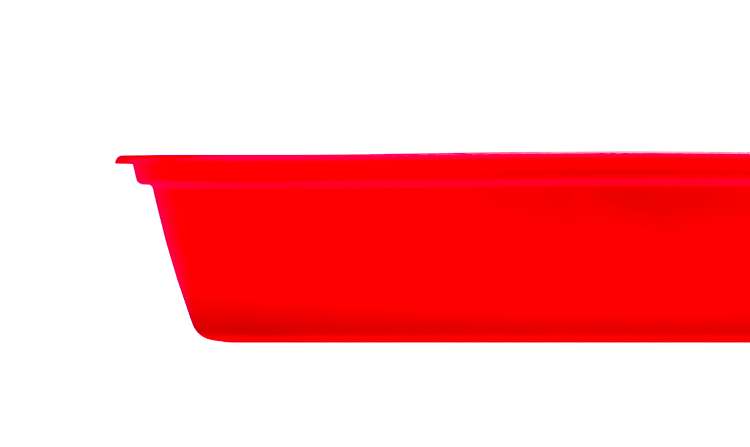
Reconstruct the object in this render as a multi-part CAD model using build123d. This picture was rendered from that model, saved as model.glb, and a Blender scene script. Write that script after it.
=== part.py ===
from build123d import *
from math import atan, cos, radians, sin, sqrt, tan
import os

# Developing tray for 20 x 25 cm (8 x 10 in) prints: one injection moulding in red plastic.
#
# The frame's origin is the centre of the underside, +X runs along the tray, +Y across it and +Z up.
# Every wall section is described by two numbers: the inset, measured in from the outermost edge of
# the rim, and the height above the table. The same section runs along the sides and round the four
# corners, so the corner radius at any height is RIM_CORNER_R less the inset there.

# Driving dimensions, in millimetres.
LENGTH = 320.0
WIDTH = 270.0
HEIGHT = 60.0
RIM_CORNER_R = 38.0
SKIN = 2.2
FLOOR_SKIN = 2.4

# Rim: a flat flange with a slightly raked edge.
RIM_THICKNESS = 2.7
RIM_EDGE_RAKE = 0.37
RIM_OVERHANG = 5.5
RIM_TOP_ROUND = 2.2
RIM_LOWER_ROUND = 0.4

# Band: the short upright wall under the rim, which ends in the stacking ledge.
BAND_SLOPE = 0.227
LEDGE_UNDERSIDE = 50.65
BAND_FOOT_ROUND = 2.2
LEDGE_ROOT_ROUND = 1.8
INNER_EDGE_ROUND = 1.6

# Wall: two slopes, in millimetres of inset per millimetre of height, blended by one long arc.
WALL_TOP_INSET = 11.5
WALL_UPPER_SLOPE = 0.218
WALL_LOWER_SLOPE = 0.36
WALL_BLEND_R = 300.0
BASE_INSET = 26.25
BASE_ROUND_INNER = 5.0

# Foot: a rounded heel, then a shallow bevel that runs down to the flat the tray stands on.
HEEL_ROUND = 7.5
FOOT_INSET = 35.0
FOOT_SLOPE = 0.16
FOOT_ROUND = 12.0

# Floor: a raised panel inside a drain channel, with ribs that hold a print off the floor.
SECTION_END_INSET = 36.5
PANEL_STEP = 0.8
PANEL_INSET = 42.0
PANEL_CORNER_R = 10.0
PANEL_TAPER_DEG = 45.0
RIB_COUNT = 9
RIB_PITCH = 20.0
RIB_LENGTH = 214.0
RIB_WIDTH = 4.0
RIB_HEIGHT = 1.6
RIB_TOP_ROUND = 1.2

# Pouring spout, in the corner towards +X and +Y.
SPOUT_CHANNEL_R = 18.0
SPOUT_FLOOR = 54.2
SPOUT_REACH = 2.8
SPOUT_START_R = 24.0

HALF_LENGTH = LENGTH / 2
HALF_WIDTH = WIDTH / 2
CORNER_X = HALF_LENGTH - RIM_CORNER_R
CORNER_Y = HALF_WIDTH - RIM_CORNER_R


def square_skin(slope, thickness=SKIN):
    """How far a wall of that slope and thickness reaches sideways."""
    return thickness / cos(atan(slope))


def crossing(inset_a, slope_a, inset_b, slope_b):
    """The height where two sloping lines meet, each given by its inset at height 0."""
    return (inset_a - inset_b) / (slope_b - slope_a)


def rim_edge_trim():
    """What rounding takes off the rim's sharp lower edge, so that the rounded edge has inset 0."""
    return RIM_LOWER_ROUND * (sqrt(1 + RIM_EDGE_RAKE**2) + RIM_EDGE_RAKE - 1)


def section_corners():
    """The wall section's corners as (inset, height, rounding), from the underside round to the floor."""
    band_zero = RIM_OVERHANG + BAND_SLOPE * (HEIGHT - RIM_THICKNESS)
    upper_zero = WALL_TOP_INSET + WALL_UPPER_SLOPE * LEDGE_UNDERSIDE
    lower_zero = BASE_INSET
    blend_z = crossing(upper_zero, -WALL_UPPER_SLOPE, lower_zero, -WALL_LOWER_SLOPE)

    inner_band_zero = band_zero + square_skin(BAND_SLOPE)
    inner_upper_zero = upper_zero + square_skin(WALL_UPPER_SLOPE)
    inner_lower_zero = lower_zero + square_skin(WALL_LOWER_SLOPE)
    inner_blend_z = crossing(
        inner_upper_zero, -WALL_UPPER_SLOPE, inner_lower_zero, -WALL_LOWER_SLOPE
    )
    rim_underside = HEIGHT - RIM_THICKNESS
    rim_outer = -rim_edge_trim()
    ledge_top = LEDGE_UNDERSIDE + SKIN
    heel_z = (FOOT_INSET - BASE_INSET) / (1 / FOOT_SLOPE - WALL_LOWER_SLOPE)

    outside = [
        (SECTION_END_INSET, 0.0, 0.0),
        (FOOT_INSET, 0.0, FOOT_ROUND),
        (BASE_INSET - WALL_LOWER_SLOPE * heel_z, heel_z, HEEL_ROUND),
        (lower_zero - WALL_LOWER_SLOPE * blend_z, blend_z, WALL_BLEND_R),
        (WALL_TOP_INSET, LEDGE_UNDERSIDE, LEDGE_ROOT_ROUND),
        (band_zero - BAND_SLOPE * LEDGE_UNDERSIDE, LEDGE_UNDERSIDE, BAND_FOOT_ROUND),
        (RIM_OVERHANG, rim_underside, RIM_LOWER_ROUND),
        (rim_outer, rim_underside, RIM_LOWER_ROUND),
        (rim_outer + RIM_EDGE_RAKE * RIM_THICKNESS, HEIGHT, RIM_TOP_ROUND),
    ]
    inside = [
        (inner_band_zero - BAND_SLOPE * HEIGHT, HEIGHT, INNER_EDGE_ROUND),
        (inner_band_zero - BAND_SLOPE * ledge_top, ledge_top, INNER_EDGE_ROUND / 2),
        (inner_upper_zero - WALL_UPPER_SLOPE * ledge_top, ledge_top, BAND_FOOT_ROUND),
        (inner_lower_zero - WALL_LOWER_SLOPE * inner_blend_z, inner_blend_z, WALL_BLEND_R),
        (inner_lower_zero - WALL_LOWER_SLOPE * FLOOR_SKIN, FLOOR_SKIN, BASE_ROUND_INNER),
        (SECTION_END_INSET, FLOOR_SKIN, 0.0),
    ]
    return outside + inside


def rounded_corner(before, corner, after, rounding):
    """The start, middle and end of the arc that rounds a corner, in inset and height."""
    corner = Vector(*corner)
    to_before = (Vector(*before) - corner).normalized()
    to_after = (Vector(*after) - corner).normalized()
    half_angle = radians(to_before.get_angle(to_after)) / 2
    inward = (to_before + to_after).normalized()
    reach = rounding / tan(half_angle)
    middle = corner + inward * (rounding / sin(half_angle) - rounding)
    return corner + to_before * reach, middle, corner + to_after * reach


def section_face(placed):
    """The wall section as a face. placed turns an inset and a height into a point."""
    corners = section_corners()
    spots = [corner[:2] for corner in corners]
    start = Vector(*spots[0])
    edges = []
    for index in range(1, len(corners) - 1):
        arc = rounded_corner(*spots[index - 1 : index + 2], corners[index][2])
        arc_start, arc_middle, arc_end = (placed(spot.X, spot.Y) for spot in arc)
        edges.append(Line(placed(start.X, start.Y), arc_start))
        edges.append(ThreePointArc(arc_start, arc_middle, arc_end))
        start = arc[2]
    edges.append(Line(placed(start.X, start.Y), placed(*spots[-1])))
    edges.append(Line(placed(*spots[-1]), placed(*spots[0])))
    return make_face(edges)


def wall_quarter():
    """Half of the +X side, the corner, and half of the +Y side, up to the planes of symmetry."""
    end_face = section_face(lambda inset, z: (HALF_LENGTH - inset, CORNER_Y, z))
    long_face = section_face(lambda inset, z: (CORNER_X, HALF_WIDTH - inset, z))
    end_side = extrude(end_face, amount=CORNER_Y, dir=(0, -1, 0))
    long_side = extrude(long_face, amount=CORNER_X, dir=(-1, 0, 0))
    corner_axis = Axis((CORNER_X, CORNER_Y, 0), (0, 0, 1))
    corner = revolve(end_face, axis=corner_axis, revolution_arc=90)
    return end_side + corner + long_side


def wall_ring():
    """The whole wall, from one quarter mirrored twice."""
    half = wall_quarter()
    half = half + mirror(half, about=Plane.YZ)
    return half + mirror(half, about=Plane.XZ)


def rounded_slab(inset, corner_r, bottom, height, taper=0.0):
    """A slab with rounded corners whose sides lie inset from the rim's edge."""
    outline = RectangleRounded(LENGTH - 2 * inset, WIDTH - 2 * inset, corner_r)
    return extrude(Pos(0, 0, bottom) * outline, amount=height, taper=taper)


def floor_panel():
    """The floor plate, stepped up inside its drain channel so that the tray stands on its border."""
    plate = rounded_slab(
        SECTION_END_INSET, RIM_CORNER_R - SECTION_END_INSET, 0.0, FLOOR_SKIN
    )
    step = (PANEL_INSET, PANEL_CORNER_R)
    raised = rounded_slab(*step, FLOOR_SKIN, PANEL_STEP, PANEL_TAPER_DEG)
    recess = rounded_slab(*step, 0.0, PANEL_STEP, PANEL_TAPER_DEG)
    return plate + raised, recess


def floor_ribs():
    """Parallel ribs along the floor, each with round ends and a rounded top."""
    outline = SlotOverall(RIB_LENGTH, RIB_WIDTH)
    sink = PANEL_STEP / 2
    rib = extrude(outline, amount=RIB_HEIGHT + sink)
    rib = fillet(rib.faces().sort_by(Axis.Z)[-1].edges(), RIB_TOP_ROUND)
    first = -RIB_PITCH * (RIB_COUNT - 1) / 2
    base_z = FLOOR_SKIN + PANEL_STEP - sink
    return [Pos(0, first + RIB_PITCH * i, base_z) * rib for i in range(RIB_COUNT)]


def spout_bar(radius, start, end):
    """A round bar along the corner's diagonal, between two distances from the corner's centre."""
    direction = Vector(1, 1, 0).normalized()
    centre = Vector(CORNER_X, CORNER_Y, SPOUT_FLOOR + SPOUT_CHANNEL_R)
    plane = Plane(origin=centre + direction * start, z_dir=direction)
    return extrude(plane * Circle(radius), amount=end - start)


def pouring_spout():
    """The spout's wall to add and its channel to cut. The spout's mouth follows the rim's curve."""
    tip = RIM_CORNER_R + SPOUT_REACH
    root = RIM_CORNER_R - RIM_OVERHANG - SKIN / 2
    reach = Pos(CORNER_X, CORNER_Y, HEIGHT / 2) * Cylinder(tip, HEIGHT)
    wall = spout_bar(SPOUT_CHANNEL_R + SKIN, root, tip + SPOUT_REACH) & reach
    channel = spout_bar(SPOUT_CHANNEL_R, SPOUT_START_R, tip + SPOUT_REACH)
    return wall, channel


def tray():
    """The tray as one solid."""
    plate, recess = floor_panel()
    spout_wall, spout_channel = pouring_spout()
    body = wall_ring() + plate
    body = body - recess
    for rib in floor_ribs():
        body = body + rib
    return body + spout_wall - spout_channel


def main():
    os.makedirs("parts", exist_ok=True)
    export_step(tray(), "parts/tray.step")


main()
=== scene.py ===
from math import atan, ceil, cos, hypot, pi, radians, sin, sqrt, tan

import bmesh
import bpy
import numpy as np
from mathutils import Euler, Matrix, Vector


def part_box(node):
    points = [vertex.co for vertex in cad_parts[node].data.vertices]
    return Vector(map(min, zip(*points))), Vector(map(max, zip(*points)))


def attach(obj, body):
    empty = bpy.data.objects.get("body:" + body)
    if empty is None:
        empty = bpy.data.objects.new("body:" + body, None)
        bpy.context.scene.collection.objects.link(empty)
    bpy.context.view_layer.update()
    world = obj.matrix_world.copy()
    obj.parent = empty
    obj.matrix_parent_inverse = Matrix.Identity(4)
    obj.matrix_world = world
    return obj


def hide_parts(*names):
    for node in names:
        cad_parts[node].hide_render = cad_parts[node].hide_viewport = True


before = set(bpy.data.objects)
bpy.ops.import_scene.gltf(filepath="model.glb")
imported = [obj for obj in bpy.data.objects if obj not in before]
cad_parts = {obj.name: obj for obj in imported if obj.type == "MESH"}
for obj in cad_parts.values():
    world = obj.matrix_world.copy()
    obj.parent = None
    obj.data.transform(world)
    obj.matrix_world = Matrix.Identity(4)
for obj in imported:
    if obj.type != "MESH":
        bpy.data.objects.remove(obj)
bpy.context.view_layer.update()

# The moulding is one closed surface of loops that all run round the tray with the same number of
# points. A loop is a rounded rectangle, given by its half length, half width, corner radius and
# height. The wall's loops come from one section, whose points are an inset from the rim's edge and
# a height above the table.

MM = 0.001

LOW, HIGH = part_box("tray")
HALF_LENGTH = (HIGH.x - LOW.x) / 2
HALF_WIDTH = (HIGH.y - LOW.y) / 2
HEIGHT = HIGH.z - LOW.z

# Points round each loop. The ends divide into RIB_COUNT cells, and the sides into MARK_COLUMNS.
RIB_COUNT = 9
MARK_COLUMNS = 5
MARK_ROWS = 3
LONG_STEPS = 12 * MARK_COLUMNS
END_STEPS = 8 * RIB_COUNT
CORNER_STEPS = 24

# Rim, band and ledge.
RIM_CORNER_R = 38 * MM
SKIN = 2.2 * MM
FLOOR_SKIN = 2.4 * MM
RIM_THICKNESS = 2.7 * MM
RIM_EDGE_RAKE = 0.37
RIM_OVERHANG = 5.5 * MM
RIM_TOP_ROUND = 2.2 * MM
RIM_LOWER_ROUND = 0.4 * MM
BAND_SLOPE = 0.227
LEDGE_UNDERSIDE = 50.65 * MM
BAND_FOOT_ROUND = 2.2 * MM
LEDGE_ROOT_ROUND = 1.8 * MM
INNER_EDGE_ROUND = 1.6 * MM
RIM_MIDDLE = 0.7 * RIM_OVERHANG

# Wall, in two slopes that one long arc blends.
WALL_TOP_INSET = 11.5 * MM
WALL_UPPER_SLOPE = 0.218
WALL_LOWER_SLOPE = 0.36
WALL_BLEND_R = 300 * MM
BASE_INSET = 26.25 * MM
BASE_ROUND_INNER = 5 * MM

# Foot: a rounded heel, then a shallow bevel down to the flat that the tray stands on.
HEEL_ROUND = 7.5 * MM
FOOT_INSET = 35 * MM
FOOT_SLOPE = 0.16
FOOT_ROUND = 12 * MM

# Floor, with its raised panel, the recess under it and the ribs.
SECTION_END_INSET = 36.5 * MM
PANEL_STEP = 0.8 * MM
PANEL_INSET = 42 * MM
PANEL_CORNER_R = 10 * MM
PANEL_EDGE_ROUND = 0.5 * MM
CELLS_HALF_LENGTH = 112 * MM
RIB_PITCH = 20 * MM
RIB_HALF_STRAIGHT = 105 * MM
RIB_HALF_WIDTH = 2 * MM
RIB_HEIGHT = 1.6 * MM
RIB_TOP_ROUND = 1.2 * MM
RIB_ROOT_ROUND = 0.5 * MM
RIB_DRAFT = 0.1
SINK_DEPTH = 0.06 * MM
SINK_REACH = 2.6 * MM

# Moulding marks in the recess under the floor.
GATE_DIMPLE_R = 7 * MM
GATE_DIMPLE_DEPTH = 0.5 * MM
GATE_NUB_R = 1.8 * MM
GATE_NUB_TAPER = 1.15
GATE_NUB_HEIGHT = 0.7 * MM
PIN_MARK_R = 4 * MM
PIN_MARK_DEPTH = 0.15 * MM
PIN_MARK_SLOPE = 0.3 * MM

# Pouring spout, in the corner towards +X and +Y.
SPOUT_DEPTH = 5.7 * MM
SPOUT_HALF_WIDTH = 18 * MM
SPOUT_REACH = 2.8 * MM

# How far the long sides stand above the corners, as warped mouldings do.
RIM_BOW = 1.2 * MM

# Surface: arcs are divided every ARC_STEP degrees, straights every STRAIGHT_STEP.
ARC_STEP = 15.0
STRAIGHT_STEP = 6 * MM

# Where the surface is rubbed, from 0 to 1.
UNDERSIDE_RUB = 1.0
RIB_TOP_RUB = 0.6

# Plastic: the red's own range, the reds of the painted shade and the painted highlight, and the worn
# red. The roughness of the clean film is a range too.
DEEP_RED = (0.87, 0.0, 0.0, 1.0)
BRIGHT_RED = (0.93, 0.0, 0.0, 1.0)
PAINTED_SHADE_RED = (0.615, 0.0, 0.0, 1.0)
PAINTED_SHADE_END_RED = (0.57, 0.0, 0.0, 1.0)
LEDGE_HIGHLIGHT_RED = (0.95, 0.06, 0.06, 1.0)
WORN_RED = (0.95, 0.35, 0.33, 1.0)
WORN_SHARE = 0.45
FILM_ROUGHNESS = (0.29, 0.37)
MARK_ROUGHNESS = 0.16
WORN_ROUGHNESS = 0.25
PLASTIC_IOR = 1.49
BUMP_DISTANCE = 0.03 * MM

# Painted shade: deeper red above the heel, where the table's shade falls on the wall. It is deeper,
# and reaches higher, towards the ends of the tray.
FOOT_SHADE_BOTTOM = (1.5 * MM, 3.5 * MM)
FOOT_SHADE_FULL = 4 * MM
FOOT_SHADE_TOP = (12.5 * MM, 19 * MM)
FOOT_SHADE_RUN = (20 * MM, 135 * MM)

# Painted shadows, strongest in the middle of the tray's length: a painted shadow line round the band
# under the rim, and a patch of painted shadow under the ledge.
PAINTED_SHADOW_RUN = (75 * MM, 10 * MM)
PAINTED_SHADOW_LINE = 53.8 * MM
PAINTED_SHADOW_LINE_REACH = (1.5 * MM, 0.2 * MM)
PAINTED_SHADOW_LINE_SHARE = 0.7
LEDGE_SHADOW_BOTTOM = (28 * MM, 48 * MM)
LEDGE_SHADOW_TOP = (49.8 * MM, 48.8 * MM)
LEDGE_SHADOW_SHARES = (0.2, 0.8)

# The pale line on the ledge: a painted highlight along the ledge's lower round.
LEDGE_HIGHLIGHT_REACH = 2 * MM
LEDGE_HIGHLIGHT_FALLOFF = 1.7

# Light. Each box has a place, a size and a radiance. The backdrop has one strength for the camera and
# a dimmer one for everything else, and the table glows for two kinds of ray.
STUDIO_LIGHT = 0.22
BACKDROP = 1.1
FRONT_LIGHT = ((-0.3, -1.1, 1.7), (3.0, 1.0), 2.88)
SIDE_LIGHT = ((-1.6, 0.25, 0.9), (1.2, 1.0), 1.45)
TOP_LIGHT = ((0.0, 0.0, 1.6), (1.2, 1.2), 1.8)
HIGHLIGHT_BOX = ((0.735, 0.6, 1.3), (1.47, 1.0), 9.0)
TABLE_REACH = 12.0
TABLE_GREY = (0.5, 0.5, 0.5, 1.0)
TABLE_GLOW = {"Is Camera Ray": 1.0, "Is Diffuse Ray": 1.25}
BLACK_LEVEL = (0.0, 0.19, 0.05)

# Camera: where it stands from the tray's middle, its near rim and the rim's top.
CAMERA_LENS = 140.9
CAMERA_ASIDE = -0.0784
CAMERA_BACK = 0.885
CAMERA_BELOW_RIM = 0.0004
CAMERA_PITCH_DEG = -1.38


# ---------------------------------------------------------------- sections

def rounded_corner(before, corner, after, rounding):
    """Points along the arc that rounds a corner of a section."""
    corner = Vector(corner)
    to_before = (Vector(before) - corner).normalized()
    to_after = (Vector(after) - corner).normalized()
    half_angle = to_before.angle(to_after) / 2
    centre = corner + (to_before + to_after).normalized() * (rounding / sin(half_angle))
    start = corner + to_before * (rounding / tan(half_angle)) - centre
    end = corner + to_after * (rounding / tan(half_angle)) - centre
    turn = pi - 2 * half_angle
    steps = max(3, ceil(turn / radians(ARC_STEP)))
    arc = []
    for step in range(steps + 1):
        part = step / steps
        spoke = start * sin((1 - part) * turn) + end * sin(part * turn)
        arc.append(tuple(centre + spoke / sin(turn)))
    return arc


def rounded_section(corners):
    """A section as points, from corners that are each (across, height, rounding)."""
    spots = [corner[:2] for corner in corners]
    points = [spots[0]]
    for index in range(1, len(corners) - 1):
        rounding = corners[index][2]
        points += rounded_corner(*spots[index - 1:index + 2], rounding)
    points.append(spots[-1])
    return divide_straights(points)


def divide_straights(points):
    """The same section with points added where two lie further apart than STRAIGHT_STEP."""
    divided = [points[0]]
    for before, after in zip(points, points[1:]):
        steps = ceil(hypot(after[0] - before[0], after[1] - before[1]) / STRAIGHT_STEP)
        for step in range(1, steps + 1):
            part = step / steps
            divided.append((before[0] + (after[0] - before[0]) * part,
                            before[1] + (after[1] - before[1]) * part))
    return divided


def square_skin(slope):
    """How far the wall reaches sideways where it has that slope."""
    return SKIN / cos(atan(slope))


def crossing(inset_a, slope_a, inset_b, slope_b):
    """The height where two sloping lines meet, each given by its inset at height 0."""
    return (inset_a - inset_b) / (slope_b - slope_a)


def outer_section():
    """The outside of the wall, from under the floor up to the middle of the rim's top."""
    band_zero = RIM_OVERHANG + BAND_SLOPE * (HEIGHT - RIM_THICKNESS)
    upper_zero = WALL_TOP_INSET + WALL_UPPER_SLOPE * LEDGE_UNDERSIDE
    blend_z = crossing(upper_zero, -WALL_UPPER_SLOPE, BASE_INSET, -WALL_LOWER_SLOPE)
    rim_underside = HEIGHT - RIM_THICKNESS
    edge_trim = RIM_LOWER_ROUND * (sqrt(1 + RIM_EDGE_RAKE**2) + RIM_EDGE_RAKE - 1)
    heel_z = (FOOT_INSET - BASE_INSET) / (1 / FOOT_SLOPE - WALL_LOWER_SLOPE)
    return rounded_section([
        (SECTION_END_INSET, 0.0, 0.0),
        (FOOT_INSET, 0.0, FOOT_ROUND),
        (BASE_INSET - WALL_LOWER_SLOPE * heel_z, heel_z, HEEL_ROUND),
        (BASE_INSET - WALL_LOWER_SLOPE * blend_z, blend_z, WALL_BLEND_R),
        (WALL_TOP_INSET, LEDGE_UNDERSIDE, LEDGE_ROOT_ROUND),
        (band_zero - BAND_SLOPE * LEDGE_UNDERSIDE, LEDGE_UNDERSIDE, BAND_FOOT_ROUND),
        (RIM_OVERHANG, rim_underside, RIM_LOWER_ROUND),
        (-edge_trim, rim_underside, RIM_LOWER_ROUND),
        (RIM_EDGE_RAKE * RIM_THICKNESS - edge_trim, HEIGHT, RIM_TOP_ROUND),
        (RIM_MIDDLE, HEIGHT, 0.0),
    ])


def inner_section():
    """The inside of the wall, from the middle of the rim's top down to the floor."""
    band_zero = RIM_OVERHANG + BAND_SLOPE * (HEIGHT - RIM_THICKNESS) + square_skin(BAND_SLOPE)
    upper_zero = WALL_TOP_INSET + WALL_UPPER_SLOPE * LEDGE_UNDERSIDE + square_skin(WALL_UPPER_SLOPE)
    lower_zero = BASE_INSET + square_skin(WALL_LOWER_SLOPE)
    blend_z = crossing(upper_zero, -WALL_UPPER_SLOPE, lower_zero, -WALL_LOWER_SLOPE)
    ledge_top = LEDGE_UNDERSIDE + SKIN
    return rounded_section([
        (RIM_MIDDLE, HEIGHT, 0.0),
        (band_zero - BAND_SLOPE * HEIGHT, HEIGHT, INNER_EDGE_ROUND),
        (band_zero - BAND_SLOPE * ledge_top, ledge_top, INNER_EDGE_ROUND / 2),
        (upper_zero - WALL_UPPER_SLOPE * ledge_top, ledge_top, BAND_FOOT_ROUND),
        (lower_zero - WALL_LOWER_SLOPE * blend_z, blend_z, WALL_BLEND_R),
        (lower_zero - WALL_LOWER_SLOPE * FLOOR_SKIN, FLOOR_SKIN, BASE_ROUND_INNER),
        (SECTION_END_INSET, FLOOR_SKIN, 0.0),
    ])


# ---------------------------------------------------------------- loops

def loop_stations():
    """Where each point of a loop lies: its share of the straight sides, and its outward direction."""
    sides = [((1, 0), (0, 1), END_STEPS), ((0, 1), (-1, 0), LONG_STEPS),
             ((-1, 0), (0, -1), END_STEPS), ((0, -1), (1, 0), LONG_STEPS)]
    shares = []
    outward = []
    for out, along, steps in sides:
        for step in range(steps):
            run = 2 * step / steps - 1
            shares.append((out[0] + along[0] * run, out[1] + along[1] * run))
            outward.append(out)
        for step in range(CORNER_STEPS):
            turn = pi / 2 * step / CORNER_STEPS
            shares.append((out[0] + along[0], out[1] + along[1]))
            outward.append((out[0] * cos(turn) + along[0] * sin(turn),
                            out[1] * cos(turn) + along[1] * sin(turn)))
    return np.array(shares, float), np.array(outward, float)


SHARES, OUTWARD = loop_stations()


def loop(half_length, half_width, corner_r, height):
    """A rounded rectangle as an array of points."""
    core = np.array([half_length - corner_r, half_width - corner_r])
    flat = SHARES * core + OUTWARD * corner_r
    return np.column_stack([flat, np.full(len(flat), height)])


def wall_loop(inset, height):
    """A loop of the wall, whose corner radius is the rim's less the inset."""
    return loop(HALF_LENGTH - inset, HALF_WIDTH - inset, RIM_CORNER_R - inset, height)


def panel_loops(base, step):
    """Loops from the flat border over the edge of the raised panel or the recess to its flat."""
    edge = rounded_section([
        (PANEL_INSET - PANEL_STEP, base, 0.0),
        (PANEL_INSET, base, PANEL_EDGE_ROUND),
        (PANEL_INSET + PANEL_STEP, base + step, PANEL_EDGE_ROUND),
        (PANEL_INSET + 2 * PANEL_STEP, base + step, 0.0),
    ])
    loops = []
    for inset, height in edge:
        corner_r = PANEL_CORNER_R - (inset - PANEL_INSET)
        loops.append(loop(HALF_LENGTH - inset, HALF_WIDTH - inset, corner_r, height))
    loops.append(loop(CELLS_HALF_LENGTH, RIB_PITCH * RIB_COUNT / 2, 0.0, base + step))
    return loops


# ---------------------------------------------------------------- out of true

def side_bow(points):
    """1 at the middle of each long side, falling to 0 at its corners and towards the ends."""
    core_x = HALF_LENGTH - RIM_CORNER_R
    run = np.clip(np.abs(points[:, 0]) / core_x, 0, 1)
    reach = np.clip((np.abs(points[:, 1]) - (HALF_WIDTH - PANEL_INSET)) / PANEL_INSET * 2, 0, 1)
    return np.cos(run * pi / 2)**2 * reach


def bend_wall(points, inset, height, floor_height, full_height):
    """Moves one wall loop as the real moulding lies: first the bow, then the spout."""
    points[:, 2] -= RIM_BOW * height / HEIGHT * (1 - side_bow(points))

    diagonal = np.array([1.0, 1.0]) / sqrt(2)
    centre = np.array([HALF_LENGTH - RIM_CORNER_R, HALF_WIDTH - RIM_CORNER_R])
    offset = points[:, :2] - centre
    along = offset @ diagonal
    across = offset @ np.array([diagonal[1], -diagonal[0]])
    dip = SPOUT_DEPTH * np.cos(np.clip(across / SPOUT_HALF_WIDTH, -1, 1) * pi / 2)**2
    dip[along < 0] = 0
    share = np.clip((height - floor_height) / (full_height - floor_height), 0, 1)
    points[:, 2] -= dip * share
    push = SPOUT_REACH * dip / SPOUT_DEPTH * share * max(0.0, 1 - inset / RIM_OVERHANG)
    points[:, :2] += OUTWARD * push[:, None]
    return points


def wall_loops():
    """All the wall's loops, from the underside round the rim to the floor."""
    loops = []
    for inset, height in outer_section():
        bent = bend_wall(wall_loop(inset, height), inset, height, LEDGE_UNDERSIDE,
                         HEIGHT - RIM_THICKNESS)
        loops.append(bent)
    for inset, height in inner_section()[1:]:
        bent = bend_wall(wall_loop(inset, height), inset, height, LEDGE_UNDERSIDE + SKIN, HEIGHT)
        loops.append(bent)
    return loops


# ---------------------------------------------------------------- mesh

class Surface:
    """Collects points and faces. Its parts share no points until merge_doubles welds them."""

    def __init__(self):
        self.points = []
        self.faces = []
        self.count = 0

    def add(self, points):
        """Adds points and returns the index of the first."""
        first = self.count
        self.points.append(np.asarray(points, float))
        self.count += len(points)
        return first

    def skin(self, loops, inward=False):
        """Quads between each closed loop and the next. inward turns the faces over."""
        size = len(loops[0])
        starts = [self.add(each) for each in loops]
        for start, after in zip(starts, starts[1:]):
            for index in range(size):
                following = (index + 1) % size
                quad = (start + index, start + following, after + following, after + index)
                self.faces.append(quad[::-1] if inward else quad)

    def mesh(self, name):
        """The points and faces as a Blender mesh."""
        mesh = bpy.data.meshes.new(name)
        mesh.from_pydata(np.concatenate(self.points).tolist(), [], self.faces)
        return mesh


def cell_border(centre, half_length, half_width, long_steps, end_steps):
    """The points round a rectangular cell of the floor, in the same order as a loop's."""
    border = []
    for step in range(end_steps):
        border.append((half_length, half_width * (2 * step / end_steps - 1)))
    for step in range(long_steps):
        border.append((half_length * (1 - 2 * step / long_steps), half_width))
    for step in range(end_steps):
        border.append((-half_length, half_width * (1 - 2 * step / end_steps)))
    for step in range(long_steps):
        border.append((half_length * (2 * step / long_steps - 1), -half_width))
    return np.array(border) + np.array(centre)


def raised(flat, height):
    """Flat points at a height."""
    return np.column_stack([flat, np.full(len(flat), height)])


def rib_outline(radius, end_steps):
    """A rib's outline at a distance from its spine: two straights and two half circles."""
    outline = []
    for step in range(end_steps):
        turn = pi * step / end_steps - pi / 2
        outline.append((RIB_HALF_STRAIGHT + radius * cos(turn), radius * sin(turn)))
    for step in range(LONG_STEPS):
        outline.append((RIB_HALF_STRAIGHT * (1 - 2 * step / LONG_STEPS), radius))
    for step in range(end_steps):
        turn = pi * step / end_steps + pi / 2
        outline.append((-RIB_HALF_STRAIGHT + radius * cos(turn), radius * sin(turn)))
    for step in range(LONG_STEPS):
        outline.append((RIB_HALF_STRAIGHT * (2 * step / LONG_STEPS - 1), -radius))
    return np.array(outline)


def add_rib_cell(surface, middle_y, base):
    """One rib and the floor round it."""
    end_steps = END_STEPS // RIB_COUNT
    border = cell_border((0, middle_y), CELLS_HALF_LENGTH, RIB_PITCH / 2, LONG_STEPS, end_steps)
    loops = [raised(border, base)]
    foot = RIB_HALF_WIDTH + RIB_DRAFT * RIB_HEIGHT
    profile = rounded_section([
        (foot + 2 * RIB_ROOT_ROUND, base, 0.0),
        (foot, base, RIB_ROOT_ROUND),
        (RIB_HALF_WIDTH, base + RIB_HEIGHT, RIB_TOP_ROUND),
        (0.0, base + RIB_HEIGHT, 0.0),
    ])
    for radius, height in profile:
        outline = rib_outline(radius, end_steps) + np.array((0, middle_y))
        loops.append(raised(outline, height))
    surface.skin(loops)


def add_mark_cell(surface, centre, base, profile):
    """One round moulding mark and the underside round it. profile is (radius, height) points."""
    half_length = CELLS_HALF_LENGTH / MARK_COLUMNS
    half_width = RIB_PITCH * RIB_COUNT / 2 / MARK_ROWS
    long_steps = LONG_STEPS // MARK_COLUMNS
    end_steps = END_STEPS // MARK_ROWS
    border = cell_border((0, 0), half_length, half_width, long_steps, end_steps)
    turns = np.arctan2(border[:, 1] / half_width, border[:, 0] / half_length)
    circle = np.column_stack([np.cos(turns), np.sin(turns)])
    loops = [raised(border + np.array(centre), base)]
    for radius, height in profile:
        loops.append(raised(circle * radius + np.array(centre), height))
    surface.skin(loops, inward=True)


def gate_profile(base):
    """The dimple round the injection point, with the stub of the sprue in it."""
    dimple = base + GATE_DIMPLE_DEPTH
    return rounded_section([
        (GATE_DIMPLE_R + PANEL_STEP, base, 0.0),
        (GATE_DIMPLE_R, base, GATE_DIMPLE_DEPTH / 3),
        (GATE_DIMPLE_R - GATE_DIMPLE_DEPTH, dimple, GATE_DIMPLE_DEPTH / 3),
        (GATE_NUB_R * GATE_NUB_TAPER, dimple, GATE_DIMPLE_DEPTH / 3),
        (GATE_NUB_R, dimple - GATE_NUB_HEIGHT, GATE_DIMPLE_DEPTH / 5),
        (0.0, dimple - GATE_NUB_HEIGHT, 0.0),
    ])


def pin_profile(base):
    """The shallow round print of an ejector pin."""
    top = base + PIN_MARK_DEPTH
    return [
        (PIN_MARK_R + PIN_MARK_SLOPE, base),
        (PIN_MARK_R, base),
        (PIN_MARK_R - PIN_MARK_SLOPE, top),
        (PIN_MARK_R - 2 * PIN_MARK_SLOPE, top),
        (0.0, top),
    ]


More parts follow.
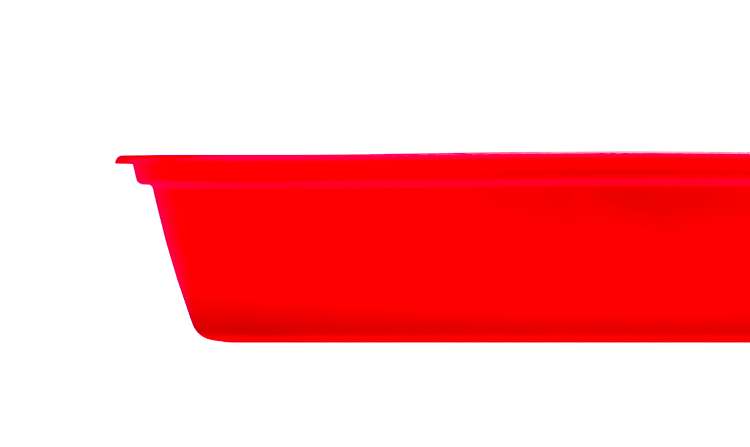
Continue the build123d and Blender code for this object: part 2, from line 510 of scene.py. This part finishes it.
def make_tray():
    """The tray as one closed mesh."""
    surface = Surface()
    under = panel_loops(0.0, PANEL_STEP)
    above = panel_loops(FLOOR_SKIN, PANEL_STEP)
    surface.skin(under[::-1] + wall_loops() + above)

    floor_z = FLOOR_SKIN + PANEL_STEP
    for index in range(RIB_COUNT):
        middle_y = RIB_PITCH * (index - (RIB_COUNT - 1) / 2)
        add_rib_cell(surface, middle_y, floor_z)

    for column in range(MARK_COLUMNS):
        for row in range(MARK_ROWS):
            centre = (2 * CELLS_HALF_LENGTH * ((column + 0.5) / MARK_COLUMNS - 0.5),
                      RIB_PITCH * RIB_COUNT * ((row + 0.5) / MARK_ROWS - 0.5))
            middle = column == MARK_COLUMNS // 2 and row == MARK_ROWS // 2
            profile = gate_profile(PANEL_STEP) if middle else pin_profile(PANEL_STEP)
            add_mark_cell(surface, centre, PANEL_STEP, profile)

    mesh = surface.mesh("tray_moulding")
    merge_doubles(mesh)
    mark_heights(mesh)
    mark_rubbed(mesh)
    add_sink_marks(mesh)
    tray = bpy.data.objects.new("tray_moulding", mesh)
    bpy.context.scene.collection.objects.link(tray)
    for polygon in mesh.polygons:
        polygon.use_smooth = True
    keep_flats = tray.modifiers.new("flat faces stay flat", "WEIGHTED_NORMAL")
    keep_flats.mode = "FACE_AREA"
    keep_flats.weight = 100
    return tray


def merge_doubles(mesh):
    """Welds the seams between the parts of the surface and drops faces with no area."""
    work = bmesh.new()
    work.from_mesh(mesh)
    bmesh.ops.remove_doubles(work, verts=work.verts, dist=0.001 * MM)
    bmesh.ops.dissolve_degenerate(work, edges=work.edges, dist=0.0005 * MM)
    work.to_mesh(mesh)
    work.free()


def mark_heights(mesh):
    """Notes how high each point was before the moulding warped, and whether it faces outwards."""
    points = np.array([vertex.co for vertex in mesh.vertices])
    normals = np.array([vertex.normal for vertex in mesh.vertices])
    heights = points[:, 2] / (1 - RIM_BOW / HEIGHT * (1 - side_bow(points)))
    outward = (points[:, :2] * normals[:, :2]).sum(axis=1) > 0
    for name, values in (("moulded_height", heights), ("outer_skin", outward.astype(float))):
        mesh.attributes.new(name, "FLOAT", "POINT").data.foreach_set("value", values)


def mark_rubbed(mesh):
    """Notes, in a vertex attribute, where benches and prints rub the surface."""
    rib_top = FLOOR_SKIN + PANEL_STEP + RIB_HEIGHT
    near = 0.05 * MM
    amounts = []
    for vertex in mesh.vertices:
        on_rib = abs(vertex.co.z - rib_top) < near and abs(vertex.co.x) < CELLS_HALF_LENGTH
        if vertex.co.z < near:
            amounts.append(UNDERSIDE_RUB)
        elif on_rib:
            amounts.append(RIB_TOP_RUB)
        else:
            amounts.append(0.0)
    rubbed = mesh.attributes.new("rubbed", "FLOAT", "POINT")
    rubbed.data.foreach_set("value", amounts)


def add_sink_marks(mesh):
    """Lowers the recess's skin a little behind each rib, where thick plastic shrinks more."""
    for vertex in mesh.vertices:
        spot = vertex.co
        if abs(spot.z - PANEL_STEP) > 0.01 * MM or abs(spot.x) > RIB_HALF_STRAIGHT:
            continue
        nearest = (spot.y / RIB_PITCH - round(spot.y / RIB_PITCH)) * RIB_PITCH
        spot.z += SINK_DEPTH * max(0.0, 1 - abs(nearest) / SINK_REACH)


# ---------------------------------------------------------------- materials

class Nodes:
    """A short way to add and join the nodes of a material or a world."""

    def __init__(self, owner):
        owner.use_nodes = True
        self.tree = owner.node_tree

    def add(self, kind, inputs=(), **settings):
        """Adds a node. Its inputs are numbers, or the output sockets that feed them."""
        node = self.tree.nodes.new("ShaderNode" + kind)
        for name, value in settings.items():
            setattr(node, name, value)
        for name, value in dict(inputs).items():
            if isinstance(value, bpy.types.NodeSocket):
                self.tree.links.new(value, node.inputs[name])
            else:
                node.inputs[name].default_value = value
        return node

    def math(self, operation, a, b=0.0):
        """A number worked out from two others."""
        return self.add("Math", {0: a, 1: b}, operation=operation).outputs[0]

    def span(self, value, start, end, low=0.0, high=1.0):
        """low up to start, high from end on, and a straight slope between them."""
        inputs = {"Value": value, "From Min": start, "From Max": end, "To Min": low, "To Max": high}
        return self.add("MapRange", inputs).outputs["Result"]

    def noise(self, place, size, detail=2.0, warp=0.0):
        """Soft noise from 0 to 1 whose patches are about that size."""
        inputs = {"Vector": place, "Scale": 1 / size, "Detail": detail, "Distortion": warp}
        return self.add("TexNoise", inputs).outputs["Fac"]

    def shade(self, amount, colour, other):
        """A colour taken towards another. amount and colour are sockets or values."""
        fac, first, second = 0, 6, 7
        node = self.add("Mix", {fac: amount, first: colour, second: other}, data_type="RGBA")
        return node.outputs[2]

    def scratches(self, place, turn, length, width, share):
        """Hairline scratches in one direction, as a mask. share is how much they cover."""
        drift = self.add("TexNoise", {"Vector": place, "Scale": 0.3 / length, "Detail": 0.0})
        sway = {0: drift.outputs["Color"], "Scale": length / 4}
        drift = self.add("VectorMath", sway, operation="SCALE")
        bent = self.add("VectorMath", {0: place, 1: drift.outputs[0]}, operation="ADD")
        turned = self.add("Mapping", {"Vector": bent.outputs[0], "Rotation": turn,
                                      "Scale": (length, width, width)}, vector_type="TEXTURE")
        streaks = self.add("TexNoise", {"Vector": turned.outputs[0], "Scale": 1.0, "Detail": 1.0})
        return self.span(streaks.outputs["Fac"], 0.74 - share, 0.76 - share)


def plastic_colour(nodes, place):
    """The moulding's red, with its mottle, painted shade above the foot, painted shadows round the
    band and under the ledge, and a painted highlight along the ledge.
    """
    swirl = nodes.span(nodes.noise(place, 90 * MM, detail=3.0, warp=1.4), 0.3, 0.7, 0.0, 0.75)
    mottle = nodes.span(nodes.noise(place, 2.5 * MM, detail=3.0), 0.3, 0.7, 0.0, 0.25)
    colour = nodes.shade(nodes.math("ADD", swirl, mottle), DEEP_RED, BRIGHT_RED)

    height = nodes.add("Attribute", attribute_name="moulded_height").outputs["Fac"]
    outside = nodes.add("Attribute", attribute_name="outer_skin").outputs["Fac"]
    from_middle = nodes.math("ABSOLUTE", nodes.add("SeparateXYZ", {0: place}).outputs["X"])
    # Painted shade above the heel, deeper and reaching higher towards the ends.
    painted_shade_top = nodes.span(from_middle, *FOOT_SHADE_RUN, *FOOT_SHADE_TOP)
    foot = nodes.math("MULTIPLY", nodes.span(height, painted_shade_top, FOOT_SHADE_FULL),
                      nodes.span(height, *FOOT_SHADE_BOTTOM))
    painted_foot_red = nodes.shade(nodes.span(from_middle, *FOOT_SHADE_RUN), PAINTED_SHADE_RED, PAINTED_SHADE_END_RED)
    colour = nodes.shade(foot, colour, painted_foot_red)

    # Painted highlight: a pale line along the ledge's lower round, on the outside.
    from_ledge = nodes.math("ABSOLUTE", nodes.math("SUBTRACT", height, LEDGE_UNDERSIDE))
    ledge_highlight = nodes.math("POWER", nodes.span(from_ledge, LEDGE_HIGHLIGHT_REACH, 0.0), LEDGE_HIGHLIGHT_FALLOFF)
    colour = nodes.shade(nodes.math("MULTIPLY", ledge_highlight, outside), colour, LEDGE_HIGHLIGHT_RED)

    # Painted shadows, strongest mid-length on the outside: a line on the band under the rim, and a
    # patch under the ledge.
    from_shadow_line = nodes.math("ABSOLUTE", nodes.math("SUBTRACT", height, PAINTED_SHADOW_LINE))
    line = nodes.span(from_shadow_line, *PAINTED_SHADOW_LINE_REACH, 0.0, PAINTED_SHADOW_LINE_SHARE)
    drift = nodes.noise(place, 45 * MM, detail=3.0, warp=0.5)
    under_ledge_shadow = nodes.math("MULTIPLY", nodes.span(height, *LEDGE_SHADOW_BOTTOM), nodes.span(height, *LEDGE_SHADOW_TOP))
    under_ledge_shadow = nodes.math("MULTIPLY", under_ledge_shadow, nodes.span(drift, 0.3, 0.7, *LEDGE_SHADOW_SHARES))
    shadow_strength = nodes.math("MULTIPLY", nodes.span(from_middle, *PAINTED_SHADOW_RUN), outside)
    painted_shadows = nodes.math("MULTIPLY", nodes.math("MAXIMUM", line, under_ledge_shadow), shadow_strength)
    return nodes.shade(painted_shadows, colour, PAINTED_SHADE_RED)


def handling_marks(nodes, place):
    """Two masks: fine scratches where the tray is handled, and wear where it is rubbed."""
    rubbed = nodes.add("Attribute", attribute_name="rubbed").outputs["Fac"]
    handled = nodes.span(nodes.noise(place, 60 * MM, detail=4.0), 0.45, 0.7)
    along = nodes.scratches(place, (0.0, 0.0, 0.15), 45 * MM, 0.35 * MM, 0.05)
    across = nodes.scratches(place, (0.4, 0.3, 1.9), 30 * MM, 0.3 * MM, 0.04)
    steep = nodes.scratches(place, (0.9, 1.2, 0.7), 22 * MM, 0.3 * MM, 0.04)
    lines = nodes.math("MAXIMUM", nodes.math("MAXIMUM", along, across), steep)
    marks = nodes.math("MULTIPLY", lines, nodes.math("MAXIMUM", handled, rubbed))
    scuffs = nodes.span(nodes.noise(place, 1.2 * MM, detail=5.0), 0.45, 0.62)
    worn = nodes.math("MULTIPLY", rubbed, nodes.math("MAXIMUM", scuffs, lines))
    return marks, worn


def plastic_relief(nodes, place, marks, worn):
    """The surface's normal: a slow ripple, a fine peel, and marks and wear cut into it."""
    ripple = nodes.math("MULTIPLY", nodes.noise(place, 16 * MM, detail=1.0), 0.9)
    peel = nodes.math("MULTIPLY", nodes.noise(place, 1.4 * MM), 0.12)
    cut = nodes.math("MULTIPLY", nodes.math("ADD", marks, worn), 0.1)
    surface = nodes.math("SUBTRACT", nodes.math("ADD", ripple, peel), cut)
    bump = nodes.add("Bump", {"Height": surface, "Distance": BUMP_DISTANCE, "Strength": 1.0})
    return bump.outputs["Normal"]


def red_plastic():
    """Glossy self-coloured plastic with moulding mottle and handling marks, and painted shade,
    painted shadows and a painted highlight in its red.
    """
    material = bpy.data.materials.new("tray_plastic")
    nodes = Nodes(material)
    shader = nodes.tree.nodes["Principled BSDF"]
    place = nodes.add("TexCoord").outputs["Object"]
    marks, worn = handling_marks(nodes, place)

    worn_colour = nodes.math("MULTIPLY", worn, WORN_SHARE)
    colour = nodes.shade(worn_colour, plastic_colour(nodes, place), WORN_RED)
    nodes.tree.links.new(colour, shader.inputs["Base Color"])

    film = nodes.noise(place, 25 * MM, detail=5.0, warp=0.6)
    rough = nodes.span(film, 0.3, 0.7, *FILM_ROUGHNESS)
    rough = nodes.math("ADD", rough, nodes.math("MULTIPLY", marks, MARK_ROUGHNESS))
    rough = nodes.math("ADD", rough, nodes.math("MULTIPLY", worn, WORN_ROUGHNESS))
    nodes.tree.links.new(rough, shader.inputs["Roughness"])
    shader.inputs["IOR"].default_value = PLASTIC_IOR

    relief = plastic_relief(nodes, place, marks, worn)
    nodes.tree.links.new(relief, shader.inputs["Normal"])
    return material


def white_floor():
    """A pale table that glows like a light table, so the camera sees it as pure white."""
    material = bpy.data.materials.new("white_table")
    nodes = Nodes(material)
    shader = nodes.tree.nodes["Principled BSDF"]
    shader.inputs["Base Color"].default_value = TABLE_GREY
    shader.inputs["Roughness"].default_value = 0.7
    shader.inputs["Specular IOR Level"].default_value = 0.1
    shader.inputs["Emission Color"].default_value = (1.0, 1.0, 1.0, 1.0)
    rays = nodes.add("LightPath").outputs
    glow = 0.0
    for kind, strength in TABLE_GLOW.items():
        glow = nodes.math("ADD", nodes.math("MULTIPLY", rays[kind], strength), glow)
    nodes.tree.links.new(glow, shader.inputs["Emission Strength"])
    return material


# ---------------------------------------------------------------- stage, light and camera

def make_floor():
    """The table under the tray."""
    mesh = bpy.data.meshes.new("table")
    reach = TABLE_REACH
    corners = [(-reach, -reach, 0), (reach, -reach, 0), (reach, reach, 0), (-reach, reach, 0)]
    mesh.from_pydata(corners, [], [(0, 1, 2, 3)])
    mesh.materials.append(white_floor())
    table = bpy.data.objects.new("table", mesh)
    bpy.context.scene.collection.objects.link(table)


def add_softbox(name, aim, place, size, radiance):
    """A rectangular area light at a place, aimed at a point."""
    light = bpy.data.lights.new(name, "AREA")
    light.shape = "RECTANGLE"
    light.size, light.size_y = size
    light.energy = radiance * pi * size[0] * size[1]
    box = bpy.data.objects.new(name, light)
    box.location = place
    box.rotation_euler = (Vector(aim) - Vector(place)).to_track_quat("-Z", "Y").to_euler()
    bpy.context.scene.collection.objects.link(box)
    return box


def light_scene():
    """A white backdrop, a dim studio round it, lights in front, aside and above, and a highlight."""
    world = bpy.data.worlds.new("white_studio")
    bpy.context.scene.world = world
    nodes = Nodes(world)
    seen = nodes.add("LightPath").outputs["Is Camera Ray"]
    backdrop = nodes.tree.nodes["Background"]
    backdrop.inputs["Color"].default_value = (1.0, 1.0, 1.0, 1.0)
    strength = nodes.span(seen, 0.0, 1.0, STUDIO_LIGHT, BACKDROP)
    nodes.tree.links.new(strength, backdrop.inputs["Strength"])

    middle = (0.0, 0.0, HEIGHT / 2)
    add_softbox("front_light", middle, *FRONT_LIGHT)
    add_softbox("side_light", middle, *SIDE_LIGHT)
    add_softbox("top_light", middle, *TOP_LIGHT)
    box_place = HIGHLIGHT_BOX[0]
    straight_down = (box_place[0], box_place[1], 0.0)
    highlight = add_softbox("highlight_box", straight_down, *HIGHLIGHT_BOX)
    highlight.visible_diffuse = False


def add_camera():
    """A long lens just below the rim's height, square to the long side."""
    camera = bpy.data.cameras.new("camera")
    camera.lens = CAMERA_LENS
    camera.sensor_width = 36.0
    eye = bpy.data.objects.new("camera", camera)
    eye.location = (CAMERA_ASIDE, -HALF_WIDTH - CAMERA_BACK, HEIGHT - CAMERA_BELOW_RIM)
    eye.rotation_euler = Euler((radians(90 + CAMERA_PITCH_DEG), 0, 0))
    bpy.context.scene.collection.objects.link(eye)
    bpy.context.scene.camera = eye


def develop_picture():
    """Plain colour, with the slight loss of green and blue in deep red that a saturated print has."""
    view = bpy.context.scene.view_settings
    view.view_transform = "Standard"
    view.use_curve_mapping = True
    view.curve_mapping.black_level = BLACK_LEVEL
    view.curve_mapping.update()


tray = make_tray()
tray.data.materials.append(red_plastic())
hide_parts("tray")
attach(tray, "root")

make_floor()
light_scene()
add_camera()
develop_picture()
